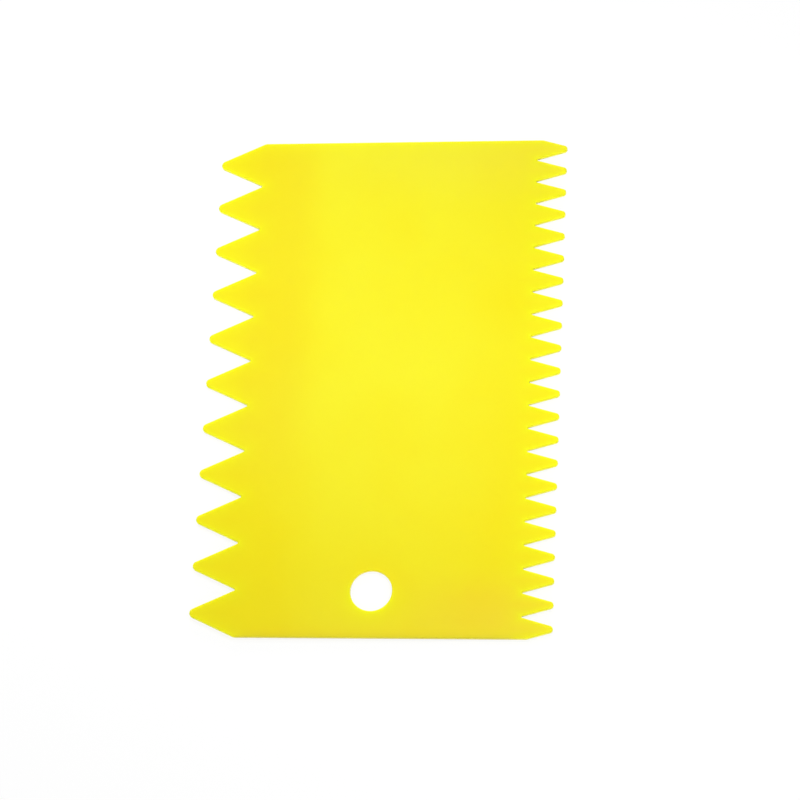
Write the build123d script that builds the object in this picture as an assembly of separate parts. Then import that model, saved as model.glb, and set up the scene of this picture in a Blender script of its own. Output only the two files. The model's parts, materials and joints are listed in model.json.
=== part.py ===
from build123d import *

import os
from math import acos, atan2, hypot, sin, tan

# A notched hand spreader: one thin plate of moulded plastic with no handle. It is held by
# its plain middle and drawn over wet adhesive or filler, which passes between the teeth
# and is left standing in even ridges. Coarse V teeth run down the left side and fine ones
# down the right, and the plate hangs from a hole near its bottom edge.
#
# X runs across the plate from the coarse row to the fine row, Y along the rows, and Z out
# of the front face. The origin is the middle of the back face.

# Plate, in millimetres
plate_height = 120.0
plate_width = 80.5  # from the coarse tips to the fine tips
plate_thickness = 1.0
corner_radius = 1.7  # where an end tooth's flank runs into the top or bottom edge
edge_break = 0.15  # bevel that takes the sharpness off every edge of both faces

# Coarse row, whose teeth share the whole height between them
coarse_teeth = 11
coarse_depth = 9.8  # from the tips to the roots
coarse_tip_radius = 1.1
coarse_root_radius = 0.25

# Fine row, whose end teeth are trimmed by the top and bottom edges
fine_pitch = 5.5
fine_depth = 6.9
fine_tip_radius = 0.8
fine_root_radius = 0.2

# Hanging hole, on the plate's centre line
hole_radius = 4.65
hole_edge_gap = 6.15  # from the hole's rim to the bottom edge

top_edge = plate_height / 2
bottom_edge = -plate_height / 2
coarse_pitch = plate_height / coarse_teeth
fine_teeth = round(plate_height / fine_pitch)


def flank_angle(pitch, depth, tip_radius, root_radius):
    """Angle between a tooth's axis and a straight flank that is tangent to both arcs."""
    radii = tip_radius + root_radius
    rise = depth - radii
    return acos(radii / hypot(pitch / 2, rise)) - atan2(rise, pitch / 2)


def row_corners(side, teeth, pitch, depth, tip_radius, root_radius):
    """Sharp corners of one row with their radii, from the bottom edge to the top edge.

    side is -1 for the left side of the plate and 1 for the right. A rounded corner falls
    short of its sharp one by its radius times the reach.
    """
    angle = flank_angle(pitch, depth, tip_radius, root_radius)
    reach = 1 / sin(angle) - 1
    tip_x = plate_width / 2 + tip_radius * reach
    root_x = plate_width / 2 - depth - root_radius * reach
    end_tip_y = pitch * (teeth - 1) / 2
    end_flank = (top_edge - end_tip_y) / tan(angle)
    end_x = max(root_x, tip_x - end_flank)

    corners = [(side * end_x, bottom_edge, corner_radius)]
    for tooth in range(teeth):
        tip_y = pitch * tooth - end_tip_y
        if tooth > 0:
            corners.append((side * root_x, tip_y - pitch / 2, root_radius))
        corners.append((side * tip_x, tip_y, tip_radius))
    corners.append((side * end_x, top_edge, corner_radius))
    return corners


def plate_outline():
    """The plate's face: both tooth rows joined by the straight edges, less the hole."""
    coarse_row = row_corners(
        -1, coarse_teeth, coarse_pitch, coarse_depth, coarse_tip_radius, coarse_root_radius
    )
    fine_row = row_corners(
        1, fine_teeth, fine_pitch, fine_depth, fine_tip_radius, fine_root_radius
    )
    corners = fine_row + coarse_row[::-1]
    with BuildSketch() as outline:
        with BuildLine():
            FilletPolyline(
                *[(x, y) for x, y, _ in corners],
                radius=[radius for _, _, radius in corners],
                close=True,
            )
        make_face()
        with Locations((0, bottom_edge + hole_edge_gap + hole_radius)):
            Circle(hole_radius, mode=Mode.SUBTRACT)
    return outline.sketch


def notched_plate():
    """The plate, with the edges of its outline and its hole broken on both faces."""
    plate = extrude(plate_outline(), amount=plate_thickness)
    faces = plate.faces().sort_by(Axis.Z)
    return chamfer(faces[0].edges() + faces[-1].edges(), edge_break)


os.makedirs("parts", exist_ok=True)
export_step(notched_plate(), "parts/notched_plate.step")
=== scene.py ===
"""Dresses the notched hand spreader and shows it on a pale table under soft light.

The plate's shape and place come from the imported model. Here its edges get the small round
that a mould leaves, its plastic gets a finish, and it is lit and framed.
"""

import json
import logging
import math
from dataclasses import dataclass
from enum import Enum
from typing import Any, Union

import bmesh
import bpy
from mathutils import Matrix, Vector


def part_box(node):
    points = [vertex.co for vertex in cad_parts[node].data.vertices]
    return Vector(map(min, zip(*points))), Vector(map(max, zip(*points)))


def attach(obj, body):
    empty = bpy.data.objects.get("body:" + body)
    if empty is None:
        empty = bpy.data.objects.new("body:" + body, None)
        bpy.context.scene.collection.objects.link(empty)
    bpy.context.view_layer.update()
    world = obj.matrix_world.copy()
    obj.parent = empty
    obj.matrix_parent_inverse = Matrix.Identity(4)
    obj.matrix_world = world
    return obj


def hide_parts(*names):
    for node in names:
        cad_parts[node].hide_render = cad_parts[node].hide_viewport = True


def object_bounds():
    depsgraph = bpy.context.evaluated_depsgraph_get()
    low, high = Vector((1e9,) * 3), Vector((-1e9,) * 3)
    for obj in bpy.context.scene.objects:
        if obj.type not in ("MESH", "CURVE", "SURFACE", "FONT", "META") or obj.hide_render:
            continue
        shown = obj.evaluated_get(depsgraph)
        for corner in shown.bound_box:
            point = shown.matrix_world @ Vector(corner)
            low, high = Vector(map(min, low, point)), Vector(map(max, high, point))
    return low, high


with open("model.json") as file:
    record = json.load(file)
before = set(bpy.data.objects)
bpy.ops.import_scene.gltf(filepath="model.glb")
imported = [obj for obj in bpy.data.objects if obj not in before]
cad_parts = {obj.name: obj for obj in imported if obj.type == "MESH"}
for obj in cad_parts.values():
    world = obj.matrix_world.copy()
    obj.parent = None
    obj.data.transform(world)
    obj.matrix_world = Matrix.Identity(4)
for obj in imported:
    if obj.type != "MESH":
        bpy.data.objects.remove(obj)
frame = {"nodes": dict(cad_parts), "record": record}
cad_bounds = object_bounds()

log = logging.getLogger("notched_spreader")

MM = 0.001
NOISE_MIDDLE = 0.5

# The Mix node's sockets for colours, which share their names with those for numbers.
MIX_FACTOR, MIX_FIRST, MIX_SECOND, MIX_RESULT = 0, 6, 7, 2

Number = Union[int, float]
Operand = Union["Field", Number]
Colour = tuple[float, float, float]  # linear red, green and blue
Paint = Union[Colour, bpy.types.NodeSocket]
Span = tuple[float, float]  # where something starts, and where it is full
Shaded = Union[bpy.types.Material, bpy.types.World]


class Side(Enum):
    """The side of the plate that a row of teeth is on, by its direction along X."""

    LEFT = -1
    RIGHT = 1


# --------------------------------------------------------------------------- shader maths


class Field:
    """A number that varies over a surface: a node socket with Python's arithmetic."""

    def __init__(self, tree: "ShaderTree", socket: bpy.types.NodeSocket) -> None:
        """Wraps a socket.

        Args:
            tree: The shader that the socket belongs to.
            socket: An output socket that carries one number.
        """
        self.tree = tree
        self.socket = socket

    def _math(self, operation: str, *operands: Operand) -> "Field":
        """Adds one Math node.

        Args:
            operation: The Math node's operation.
            *operands: Its inputs, in order.

        Returns:
            The node's value.
        """
        node = self.tree.add(
            "ShaderNodeMath", {"operation": operation}, dict(enumerate(operands))
        )
        return Field(self.tree, node.outputs[0])

    def __add__(self, other: Operand) -> "Field":
        """This field plus another."""
        return self._math("ADD", self, other)

    def __radd__(self, other: Number) -> "Field":
        """A number plus this field."""
        return self._math("ADD", other, self)

    def __sub__(self, other: Operand) -> "Field":
        """This field less another."""
        return self._math("SUBTRACT", self, other)

    def __rsub__(self, other: Number) -> "Field":
        """A number less this field."""
        return self._math("SUBTRACT", other, self)

    def __mul__(self, other: Operand) -> "Field":
        """This field times another."""
        return self._math("MULTIPLY", self, other)

    def __rmul__(self, other: Number) -> "Field":
        """A number times this field."""
        return self._math("MULTIPLY", other, self)

    def __pow__(self, other: Operand) -> "Field":
        """This field to a power."""
        return self._math("POWER", self, other)

    def __abs__(self) -> "Field":
        """This field's size without its sign."""
        return self._math("ABSOLUTE", self)

    def at_most(self, other: Operand) -> "Field":
        """The lesser of this field and another."""
        return self._math("MINIMUM", self, other)

    def at_least(self, other: Operand) -> "Field":
        """The greater of this field and another."""
        return self._math("MAXIMUM", self, other)

    def fold(self, width: Number) -> "Field":
        """Folds this field to and fro: 0 at each even multiple of width, width at odd ones."""
        return self._math("PINGPONG", self, width)

    def fade(self, reach: Number) -> "Field":
        """Falls from 1 where this field is 0, to a third each time it grows by reach."""
        return self._math("EXPONENT", self.at_least(0.0) * (-1.0 / reach))

    def ramp(self, start: Number, end: Number) -> "Field":
        """Eases from 0 where this field is at start to 1 where it is at end.

        Args:
            start: The value that gives 0.
            end: The value that gives 1, which may be below start.

        Returns:
            A mask between 0 and 1.
        """
        low, high = min(start, end), max(start, end)
        node = self.tree.add(
            "ShaderNodeMapRange",
            {"interpolation_type": "SMOOTHSTEP"},
            {"Value": self, "From Min": low, "From Max": high},
        )
        mask = Field(self.tree, node.outputs["Result"])
        return mask if end > start else 1 - mask


class ShaderTree:
    """The nodes of one material or world, added one at a time."""

    def __init__(self, owner: Shaded) -> None:
        """Starts with nothing but an output.

        Args:
            owner: The material or world that the nodes are for.
        """
        self.owner = owner
        owner.use_nodes = True
        self.nodes = owner.node_tree.nodes
        self.links = owner.node_tree.links
        self.nodes.clear()
        is_world = isinstance(owner, bpy.types.World)
        self.output = self.add(
            "ShaderNodeOutputWorld" if is_world else "ShaderNodeOutputMaterial"
        )

    def add(
        self,
        kind: str,
        settings: dict[str, Any] | None = None,
        sockets: dict[str | int, Any] | None = None,
    ) -> bpy.types.Node:
        """Adds a node.

        Args:
            kind: The node's type.
            settings: Its properties, which are set before its sockets.
            sockets: Its inputs by name or number: a value, a socket or a field.

        Returns:
            The new node.
        """
        node = self.nodes.new(kind)
        for key, setting in (settings or {}).items():
            setattr(node, key, setting)
        for key, source in (sockets or {}).items():
            source = source.socket if isinstance(source, Field) else source
            if isinstance(source, bpy.types.NodeSocket):
                self.links.new(source, node.inputs[key])
            else:
                node.inputs[key].default_value = source
        return node

    def millimetres(self, stretch: Vector = Vector((1, 1, 1))) -> bpy.types.NodeSocket:
        """Finds the place on the object in millimetres.

        Args:
            stretch: What each axis is multiplied by.

        Returns:
            The place's socket.
        """
        place = self.add("ShaderNodeTexCoord").outputs["Object"]
        sockets = {"Vector": place, "Scale": stretch / MM}
        return self.add("ShaderNodeMapping", {}, sockets).outputs["Vector"]

    def spot(self) -> "Spot":
        """Where a point of the surface lies on the plate, in millimetres."""
        split = self.add("ShaderNodeSeparateXYZ", {}, {"Vector": self.millimetres()})
        return Spot(Field(self, split.outputs["X"]), Field(self, split.outputs["Y"]))

    def noise(
        self,
        size: float,
        detail: float,
        roughness: float = 0.5,
        stretch: Vector = Vector((1, 1, 1)),
    ) -> Field:
        """Cloudy noise.

        Args:
            size: The width of its largest forms, in millimetres.
            detail: How many finer layers it has.
            roughness: How strong the finer layers are.
            stretch: How much finer it is along each axis.

        Returns:
            A field around NOISE_MIDDLE.
        """
        node = self.add(
            "ShaderNodeTexNoise",
            {},
            {
                "Vector": self.millimetres(stretch),
                "Scale": 1 / size,
                "Detail": detail,
                "Roughness": roughness,
            },
        )
        return Field(self, node.outputs["Fac"])

    def colour(self, mask: Field, under: Paint, over: Paint) -> bpy.types.NodeSocket:
        """Lays one colour over another.

        Args:
            mask: How much of the upper colour there is.
            under: The lower colour, as three numbers or a socket.
            over: The upper colour, as three numbers or a socket.

        Returns:
            The mixed colour's socket.
        """
        first, second = (
            (*colour, 1.0) if isinstance(colour, tuple) else colour
            for colour in (under, over)
        )
        node = self.add(
            "ShaderNodeMix",
            {"data_type": "RGBA", "blend_type": "MIX"},
            {MIX_FACTOR: mask, MIX_FIRST: first, MIX_SECOND: second},
        )
        return node.outputs[MIX_RESULT]

    def bump(
        self, height: Field, depth: float, under: bpy.types.NodeSocket | None = None
    ) -> bpy.types.NodeSocket:
        """Raises the surface.

        Args:
            height: How high it stands, from 0 to 1.
            depth: What a height of 1 is, in millimetres.
            under: The normal of a bump that this one lies on.

        Returns:
            The raised surface's normal.
        """
        sockets = {"Height": height, "Distance": depth * MM}
        if under is not None:
            sockets["Normal"] = under
        return self.add("ShaderNodeBump", {}, sockets).outputs["Normal"]

    def looked_at(self) -> Field:
        """Tells the rays that something is seen by from those that light it.

        Returns:
            1 where the camera looks, also by way of gloss or glass, and 0 for light.
        """
        rays = self.add("ShaderNodeLightPath").outputs
        camera, gloss, glass = (
            Field(self, rays[f"Is {name} Ray"])
            for name in ("Camera", "Glossy", "Transmission")
        )
        return camera.at_least(gloss).at_least(glass)

    def upward(self) -> Field:
        """Finds how far up a ray of the world points.

        Returns:
            0 where it is level and 1 where it is straight up.
        """
        way = self.add("ShaderNodeTexCoord").outputs["Generated"]
        split = self.add("ShaderNodeSeparateXYZ", {}, {"Vector": way})
        return Field(self, split.outputs["Z"])

    def surface(self, shader: bpy.types.Node) -> Shaded:
        """Ends the tree with this shader and hands over what it is for."""
        self.links.new(shader.outputs[0], self.output.inputs["Surface"])
        return self.owner


# ------------------------------------------------------------------------- the plate's form


@dataclass(frozen=True)
class Spot:
    """Where a point lies on the plate's face, from its middle, in millimetres."""

    across: Field
    along: Field


@dataclass(frozen=True)
class ToothRow:
    """One row of V teeth. Lengths are in millimetres."""

    side: Side
    teeth: int
    pitch: float
    depth: float
    tip_radius: float
    root_radius: float

    def flank_angle(self) -> float:
        """Works out the angle between a tooth's axis and its straight flank.

        Returns:
            The angle in radians.
        """
        radii = self.tip_radius + self.root_radius
        rise = self.depth - radii
        half_pitch = self.pitch / 2
        past_square = math.acos(radii / math.hypot(half_pitch, rise))
        return past_square - math.atan2(rise, half_pitch)

    def edge_distance(self, spot: Spot, half_width: float) -> Field:
        """How far a point on the face lies inside this row's edge.

        Args:
            spot: The point.
            half_width: From the plate's middle to the tooth tips.

        Returns:
            The distance in millimetres, which is true near the edge.
        """
        angle = self.flank_angle()
        past_tip = self.tip_radius * (1 / math.sin(angle) - 1)
        last_axis = self.pitch * (self.teeth - 1) / 2
        inside = half_width - self.side.value * spot.across
        off_axis = (spot.along - last_axis).fold(self.pitch / 2)
        flank = (inside + past_tip) * math.sin(angle) - off_axis * math.cos(angle)
        return flank.at_least(inside - self.depth).at_most(inside)


@dataclass(frozen=True)
class PlateForm:
    """The outline of the plate's faces. Lengths are in millimetres."""

    half_width: float
    half_height: float
    hole_radius: float
    hole_along: float
    rows: tuple[ToothRow, ...]

    @classmethod
    def of_node(cls, node: str, hole: str) -> "PlateForm":
        """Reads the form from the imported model.

        Args:
            node: The plate's node.
            hole: The mount that is its hanging hole.

        Returns:
            The form, with its two rows of teeth.
        """
        low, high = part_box(node)
        size = (high - low) / MM
        mounts = {mount["name"]: mount for mount in frame["record"]["mounts"]}
        coarse = ToothRow(
            Side.LEFT,
            teeth=11,
            pitch=size.y / 11,
            depth=9.8,
            tip_radius=1.1,
            root_radius=0.25,
        )
        fine = ToothRow(
            Side.RIGHT,
            teeth=22,
            pitch=5.5,
            depth=6.9,
            tip_radius=0.8,
            root_radius=0.2,
        )
        return cls(
            size.x / 2,
            size.y / 2,
            mounts[hole]["dims"]["r_mm"],
            mounts[hole]["pos_m"][1] / MM,
            (coarse, fine),
        )

    def from_lit_edges(self, spot: Spot) -> Field:
        """Finds how far a point lies inside the teeth and the end away from the hole.

        Args:
            spot: The point.

        Returns:
            The distance to the nearest of those edges.
        """
        distance = self.half_height - spot.along
        for row in self.rows:
            distance = distance.at_most(row.edge_distance(spot, self.half_width))
        return distance

    def from_hole(self, spot: Spot) -> Field:
        """How far a point on the face lies outside the hole."""
        across, along = spot.across, spot.along - self.hole_along
        return (across * across + along * along) ** 0.5 - self.hole_radius


# ------------------------------------------------------------------------------- finishes


@dataclass(frozen=True)
class SpreaderPlastic:
    """Translucent yellow polypropylene, satin from its mould, with light wear at the teeth;
    its colour also holds a painted sheen, painted shade and a painted glow along the edges.

    Colours are linear, lengths in millimetres, and shares between 0 and 1.
    """

    body: Colour = (0.985, 0.860, 0.017)
    # deeper tone for the random clouds, and painted shade towards the margins and the hole's
    # end
    deep_tone_and_shade: Colour = (0.985, 0.785, 0.001)
    lit_edge: Colour = (0.985, 0.93, 0.003)
    # whitish: scuffs in the scratches, and a painted sheen towards the ends
    scuff_and_sheen: Colour = (0.95, 0.80, 0.12)
    # painted shade along the plate's lower end
    shaded_edge: Colour = (0.70, 0.63, 0.02)
    # painted shade for the band behind the coarse teeth
    band_shade: Colour = (0.91, 0.735, 0.010)
    # painted shade, darker and more orange, between the hole and the last fine teeth
    amber_shade: Colour = (1.0, 0.69, 0.003)

    # The middle keeps the lighter, whiter body colour as a painted sheen, and the colour
    # deepens as painted shade towards each margin and the end with the hole; the clouds deepen
    # it at random
    margin: Span = (10.0, 32.0)  # from the middle
    left_shade_share: float = 0.66
    right_shade_share: float = 0.46
    hole_end_shade_share: float = 0.70
    cloud_share: float = 0.40
    cloud_size: float = 26.0
    cloud_range: Span = (0.35, 0.75)

    # A band of painted shade behind the coarse teeth, which ends short of the hole's end
    band_outer: Span = (-36.0, -30.0)
    band_inner: Span = (-13.0, -23.0)
    band_end: Span = (-32.0, -8.0)
    band_share: float = 0.5

    # Faint amber painted shade between the hole and the last fine teeth
    cast_across: Span = (4.0, 26.0)
    cast_above: Span = (-43.0, -52.5)
    cast_below: Span = (-60.0, -56.0)
    cast_share: float = 0.6

    # Light that the edges gather: a bright line with a soft glow behind it
    line_width: float = 0.4
    line_share: float = 0.45
    glow_width: float = 2.0
    glow_share: float = 0.55
    hole_rim: float = 1.3  # times the rim of the outer edges

    # Wear, with painted shade along the lower end and a painted sheen towards the ends
    shaded_edge_width: float = 0.8
    shaded_edge_share: float = 0.9
    # a whitish painted sheen towards both ends, stronger on the right
    sheen_from: float = 40.0  # along the plate, from its middle
    sheen_share: float = 0.2
    scratch_width: float = 0.5
    scratch_grain: float = 0.04  # how fine a scratch is along its run
    scratch_range: Span = (0.60, 0.72)
    scratch_depth: float = 0.006
    scratch_share: float = 0.18
    wear_reach: float = 7.0
    wear_elsewhere: float = 0.12  # times the wear at the tips

    # Surface
    roughness: float = 0.30
    grain_roughness: float = 0.10
    scratch_roughness: float = 0.14
    tip_roughness: float = 0.08
    grain_size: float = 0.22
    grain_depth: float = 0.004
    ripple_size: float = 15.0
    ripple_depth: float = 0.12

    # Translucence
    refraction: float = 1.49
    gloss: float = 0.5
    inner_light: float = 0.7
    light_reach: float = 1.2
    reach_by_colour: Colour = (1.0, 0.95, 0.25)

    def make(self, form: PlateForm) -> bpy.types.Material:
        """Makes the material.

        Args:
            form: The outline that the lit rim and the wear follow.

        Returns:
            The material.
        """
        tree = ShaderTree(bpy.data.materials.new("spreader_plastic"))
        spot = tree.spot()
        near_tips = (form.half_width - abs(spot.across)).ramp(self.wear_reach, 0.0)
        scratches = self.scratches(tree, near_tips)
        grain = tree.noise(self.grain_size, detail=3.0, roughness=0.6)

        colour = self.tone_sheen_and_shade(tree, form, spot)
        colour = self.wear_sheen_and_shade(tree, form, spot, colour, scratches)
        colour = tree.colour(self.lit_rim(form, spot), colour, self.lit_edge)
        roughness = (
            self.roughness
            + self.grain_roughness * (grain - NOISE_MIDDLE)
            + self.scratch_roughness * scratches
            + self.tip_roughness * near_tips
        )
        shader = tree.add(
            "ShaderNodeBsdfPrincipled",
            {"subsurface_method": "RANDOM_WALK"},
            {
                "Base Color": colour,
                "Roughness": roughness,
                "Normal": self.relief(tree, grain, scratches),
                "IOR": self.refraction,
                "Specular IOR Level": self.gloss,
                "Subsurface Weight": self.inner_light,
                "Subsurface Radius": self.reach_by_colour,
                "Subsurface Scale": self.light_reach * MM,
            },
        )
        return tree.surface(shader)

    def scratches(self, tree: ShaderTree, near_tips: Field) -> Field:
        """Draws fine scratches across the plate, most of them near the tooth tips.

        Args:
            tree: The material's nodes.
            near_tips: 1 at the tooth tips and 0 away from them.

        Returns:
            A mask that is 1 in a scratch.
        """
        drag = tree.noise(
            self.scratch_width,
            detail=4.0,
            roughness=0.65,
            stretch=Vector((self.scratch_grain, 1, 1)),
        )
        share = self.wear_elsewhere + (1 - self.wear_elsewhere) * near_tips
        return drag.ramp(*self.scratch_range) * share

    def tone_sheen_and_shade(
        self, tree: ShaderTree, form: PlateForm, spot: Spot
    ) -> bpy.types.NodeSocket:
        """Mixes the plastic's colour: a painted sheen in the middle, painted shade towards the
        margins and the hole's end, a band of painted shade behind the coarse teeth, amber
        painted shade by the hole, and random clouds.

        Args:
            tree: The material's nodes.
            form: The plate's outline.
            spot: Where the surface is.

        Returns:
            The colour's socket.
        """
        near, far = self.margin
        left, right = spot.across.ramp(-near, -far), spot.across.ramp(near, far)
        hole_end = spot.along.ramp(0.0, -form.half_height)
        clouds = tree.noise(self.cloud_size, detail=2.0).ramp(*self.cloud_range)
        # painted sheen and shade: the body colour stays in the middle as a painted sheen and
        # gives way to the deeper colour towards the margins and the hole's end; the clouds add
        # random tone
        depth = (
            self.left_shade_share * left
            + self.right_shade_share * right
            + self.hole_end_shade_share * hole_end
            + self.cloud_share * clouds
        )
        colour = tree.colour(depth.at_most(1.0), self.body, self.deep_tone_and_shade)
        # painted shade: a darker band behind the coarse teeth
        band = spot.across.ramp(*self.band_outer) * spot.across.ramp(*self.band_inner)
        band = self.band_share * band * spot.along.ramp(*self.band_end)
        colour = tree.colour(band, colour, self.band_shade)
        # painted shade: a faint amber patch between the hole and the last fine teeth
        amber_shade_mask = spot.along.ramp(*self.cast_above) * spot.along.ramp(*self.cast_below)
        amber_shade_mask = self.cast_share * amber_shade_mask * spot.across.ramp(*self.cast_across)
        return tree.colour(amber_shade_mask, colour, self.amber_shade)

    def wear_sheen_and_shade(
        self,
        tree: ShaderTree,
        form: PlateForm,
        spot: Spot,
        colour: bpy.types.NodeSocket,
        scratches: Field,
    ) -> bpy.types.NodeSocket:
        """Scuffs the plastic where it is scratched, paints a whitish sheen towards its ends
        and paints shade along its lower end.

        Args:
            tree: The material's nodes.
            form: The plate's outline.
            spot: Where the surface is.
            colour: The plastic's colour, with its painted sheen and shade.
            scratches: 1 in a scratch.

        Returns:
            The scuffed colour's socket, with the painted sheen and shade.
        """
        # painted sheen: whitish towards both ends of the plate, more to the right
        painted_sheen = abs(spot.along).ramp(self.sheen_from, form.half_height)
        painted_sheen = painted_sheen * spot.across.ramp(-form.half_width, form.half_width)
        scuffs_and_sheen = self.scratch_share * scratches + self.sheen_share * painted_sheen
        colour = tree.colour(scuffs_and_sheen, colour, self.scuff_and_sheen)
        # painted shade: darker along the lower end
        lower_end_shade = (form.half_height + spot.along).fade(self.shaded_edge_width)
        return tree.colour(self.shaded_edge_share * lower_end_shade, colour, self.shaded_edge)

    def lit_rim(self, form: PlateForm, spot: Spot) -> Field:
        """Follows the edges that gather light: the teeth, one end, the hole's lower lip.

        Args:
            form: The plate's outline.
            spot: Where the surface is.

        Returns:
            A mask that is 1 where an edge is brightest.
        """
        below_middle = spot.along - form.hole_along
        lower_lip = below_middle.ramp(form.hole_radius, -form.hole_radius)
        outer = self.gathered(form.from_lit_edges(spot))
        inner = self.gathered(form.from_hole(spot))
        return (outer + self.hole_rim * lower_lip * inner).at_most(1.0)

    def gathered(self, distance: Field) -> Field:
        """The light at a distance from an edge: its bright line and its soft glow."""
        line = self.line_share * distance.fade(self.line_width)
        return line + self.glow_share * distance.fade(self.glow_width)

    def relief(
        self, tree: ShaderTree, grain: Field, scratches: Field
    ) -> bpy.types.NodeSocket:
        """Lays slow ripples, the mould's grain and the scratches over each other.

        Args:
            tree: The material's nodes.
            grain: The grain's height.
            scratches: 1 in a scratch.

        Returns:
            The surface's normal.
        """
        ripples = tree.noise(self.ripple_size, detail=0.0)
        normal = tree.bump(ripples, self.ripple_depth)
        normal = tree.bump(grain, self.grain_depth, normal)
        return tree.bump(1 - scratches, self.scratch_depth, normal)


@dataclass(frozen=True)
class TablePaper:
    """Matt white paper that reads as a white ground and still takes a shadow."""

    white: Colour = (0.9, 0.9, 0.9)
    lift: float = 0.82  # how much of the ground shows over the paper
    ground: float = 1.05

    def make(self) -> bpy.types.Material:
        """Makes the material.

        Returns:
            The material.
        """
        tree = ShaderTree(bpy.data.materials.new("table_paper"))
        paper = tree.add("ShaderNodeBsdfDiffuse", {}, {"Color": (*self.white, 1.0)})
        ground = tree.add("ShaderNodeEmission", {}, {"Strength": self.ground})
        mix = tree.add(
            "ShaderNodeMixShader",
            {},
            {
                0: tree.looked_at() * self.lift,
                1: paper.outputs[0],
                2: ground.outputs[0],
            },
        )
        return tree.surface(mix)


# ---------------------------------------------------------------------------- the spreader


@dataclass
class NotchedPlate:
    """The whole spreader: one moulded plate, refined from the node that holds its shape.

    Lengths are in millimetres.
    """

    name: str = "moulded_plate"
    node: str = "notched_plate"
    hole: str = "hang_hole"
    slot: str = "plate_plastic"
    merge_gap: float = 0.001
    flat_within: float = 0.4  # degrees
    bevel_slope: Span = (0.3, 0.95)  # how far up a bevel's faces point, least and most
    edge_soften: float = 0.05
    edge_segments: int = 2
    corner_weight: int = 100
    finish: SpreaderPlastic = SpreaderPlastic()

    def build(self) -> bpy.types.Object:
        """Models and dresses the plate.

        Returns:
            The finished piece, which stands for the node.
        """
        source = frame["nodes"][self.node]
        shape = bmesh.new()
        shape.from_mesh(source.data)
        self.clean(shape)
        self.soften_edges(shape)
        mesh = bpy.data.meshes.new(self.name)
        shape.to_mesh(mesh)
        shape.free()

        plate = bpy.data.objects.new(self.name, mesh)
        bpy.context.scene.collection.objects.link(plate)
        self.shade(plate)
        self.dress(plate)
        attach(plate, "root")
        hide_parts(self.node)
        return plate

    def clean(self, shape: bmesh.types.BMesh) -> None:
        """Joins the loose triangles and clears the edges that lie within a flat face.

        Args:
            shape: The plate.
        """
        bmesh.ops.remove_doubles(shape, verts=shape.verts, dist=self.merge_gap * MM)
        bmesh.ops.dissolve_limit(
            shape,
            angle_limit=math.radians(self.flat_within),
            use_dissolve_boundaries=False,
            verts=shape.verts,
            edges=shape.edges,
            delimit={"NORMAL"},
        )
        bmesh.ops.recalc_face_normals(shape, faces=shape.faces)

    def soften_edges(self, shape: bmesh.types.BMesh) -> None:
        """Rounds the corners of the bevel that runs along every edge of the plate.

        Args:
            shape: The plate.
        """
        least, most = self.bevel_slope
        bevels = {face for face in shape.faces if least < abs(face.normal.z) < most}
        corners = [
            edge
            for edge in shape.edges
            if sum(face in bevels for face in edge.link_faces) == 1
        ]
        bmesh.ops.bevel(
            shape,
            geom=corners,
            offset=self.edge_soften * MM,
            offset_type="OFFSET",
            segments=self.edge_segments,
            profile=0.5,
            affect="EDGES",
            clamp_overlap=True,
            material=-1,
        )

    def shade(self, plate: bpy.types.Object) -> None:
        """Shades the edges round and keeps the faces flat.

        Args:
            plate: The plate.
        """
        for polygon in plate.data.polygons:
            polygon.use_smooth = True
        weighted = plate.modifiers.new("even_shading", "WEIGHTED_NORMAL")
        weighted.weight = self.corner_weight

    def dress(self, plate: bpy.types.Object) -> None:
        """Gives the plate its plastic."""
        form = PlateForm.of_node(self.node, self.hole)
        plate.data.materials.append(self.finish.make(form))


# ---------------------------------------------------------------------------- the studio


@dataclass(frozen=True)
class SoftBox:
    """A flat lamp of even white light, too soft to show as a spot in gloss."""

    name: str
    place: tuple[float, float, float]  # from the plate's middle, in metres
    size: tuple[float, float]  # across and up, in metres
    power: float  # watts

    def hang(self, middle: Vector) -> None:
        """Hangs the lamp, turned towards the plate's middle.

        Args:
            middle: The plate's middle.
        """
        light = bpy.data.lights.new(self.name, "AREA")
        light.shape = "RECTANGLE"
        light.size, light.size_y = self.size
        light.energy = self.power
        lamp = bpy.data.objects.new(self.name, light)
        away = Vector(self.place)
        lamp.location = middle + away
        lamp.rotation_euler = away.to_track_quat("Z", "Y").to_euler()
        lamp.visible_camera = False
        lamp.visible_glossy = False
        bpy.context.scene.collection.objects.link(lamp)


@dataclass(frozen=True)
class Viewpoint:
    """Where the camera stands, from the point on the plate that it looks at."""

    azimuth: float = 20.312  # degrees, 0 looks along the tooth rows
    elevation: float = 67.212  # degrees
    roll: float = -19.018  # degrees
    distance: float = 723.79  # millimetres
    aim: tuple[float, float] = (4.34, -4.28)  # millimetres from the plate's middle
    lens: float = 145.18  # millimetres

    def place(self, middle: Vector) -> bpy.types.Object:
        """Sets up the camera.

        Args:
            middle: The middle of the plate's front face.

        Returns:
            The camera.
        """
        azimuth, elevation = math.radians(self.azimuth), math.radians(self.elevation)
        back = Vector(
            (
                math.sin(azimuth) * math.cos(elevation),
                -math.cos(azimuth) * math.cos(elevation),
                math.sin(elevation),
            )
        )
        level = back.to_track_quat("Z", "Y").to_matrix()
        turned = level @ Matrix.Rotation(math.radians(self.roll), 3, "Z")
        camera = bpy.data.cameras.new("camera")
        camera.lens = self.lens
        stand = bpy.data.objects.new("camera", camera)
        aim = middle + Vector((*self.aim, 0.0)) * MM
        stand.location = aim + back * self.distance * MM
        stand.rotation_euler = turned.to_euler()
        bpy.context.scene.collection.objects.link(stand)
        bpy.context.scene.camera = stand
        return stand


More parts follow.
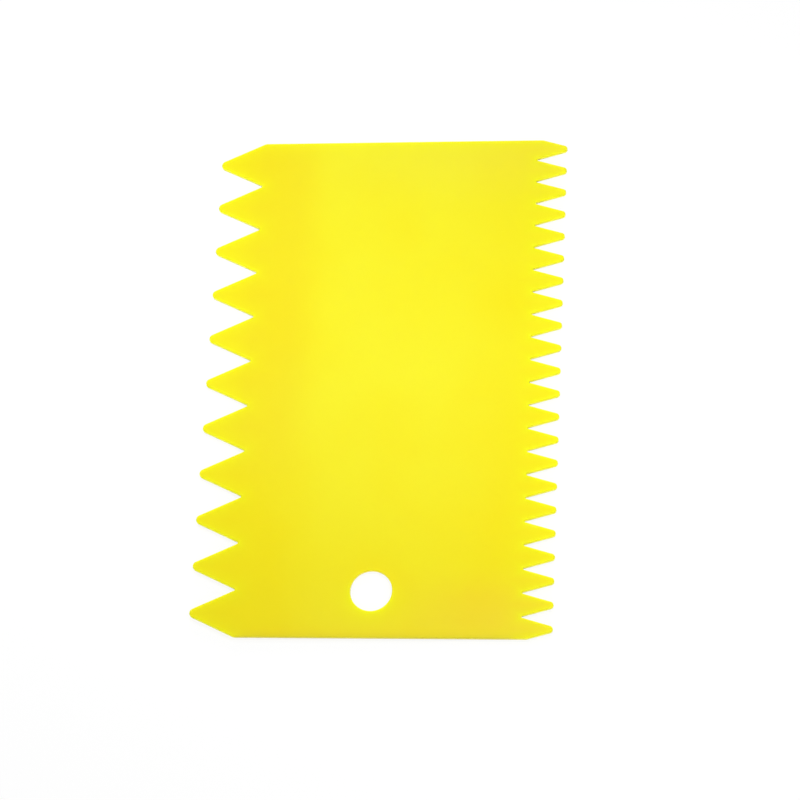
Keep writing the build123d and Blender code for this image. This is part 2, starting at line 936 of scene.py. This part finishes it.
@dataclass
class Studio:
    """A white table, a pale room, soft lamps and the camera."""

    table_width: float = 6.0  # metres
    table_gap: float = 0.0002  # metres under the plate
    room_light: float = 0.38
    ceiling: float = 0.3
    fall_to_ceiling: Span = (0.1, 0.6)  # 0 is level and 1 straight up
    lamps: tuple[SoftBox, ...] = (
        SoftBox("key", (0.008, 0.0195, 0.13), (0.50, 0.06), 0.225),
        SoftBox("back", (0.0, 1.20, 0.28), (0.50, 0.50), 9.0),
        SoftBox("front", (0.05, -1.09, 0.43), (0.50, 0.50), 4.1),
    )
    view: Viewpoint = Viewpoint()

    def build(self, low: Vector, high: Vector) -> None:
        """Sets the table and the lights, and places the camera.

        Args:
            low: The plate's lowest corner.
            high: The plate's highest corner.
        """
        middle = (low + high) / 2
        self.lay_table(low.z)
        self.light_room()
        for lamp in self.lamps:
            lamp.hang(middle)
        self.view.place(Vector((middle.x, middle.y, high.z)))
        bpy.context.scene.view_settings.view_transform = "Standard"

    def lay_table(self, plate_bottom: float) -> None:
        """Lays the white table just under the plate.

        Args:
            plate_bottom: The height of the plate's underside.
        """
        surface = bmesh.new()
        bmesh.ops.create_grid(
            surface, x_segments=1, y_segments=1, size=self.table_width / 2
        )
        height = plate_bottom - self.table_gap
        bmesh.ops.translate(surface, verts=surface.verts, vec=(0.0, 0.0, height))
        mesh = bpy.data.meshes.new("table")
        surface.to_mesh(mesh)
        surface.free()
        mesh.materials.append(TablePaper().make())
        table = bpy.data.objects.new("table", mesh)
        bpy.context.scene.collection.objects.link(table)

    def light_room(self) -> None:
        """Fills the room with even light and makes it look white."""
        tree = ShaderTree(bpy.data.worlds.new("room"))
        overhead = tree.upward().ramp(*self.fall_to_ceiling)
        backdrop = 1.0 - (1.0 - self.ceiling) * overhead
        strength = self.room_light + (backdrop - self.room_light) * tree.looked_at()
        room = tree.add(
            "ShaderNodeBackground",
            {},
            {"Color": (1.0, 1.0, 1.0, 1.0), "Strength": strength},
        )
        bpy.context.scene.world = tree.surface(room)


def main() -> None:
    """Builds the spreader, then the studio round it."""
    logging.basicConfig(level=logging.INFO, format="%(name)s: %(message)s")
    plate = NotchedPlate().build()
    log.info("%s: %d faces", plate.name, len(plate.data.polygons))
    low, high = cad_bounds
    Studio().build(low, high)


if __name__ == "__main__":
    main()
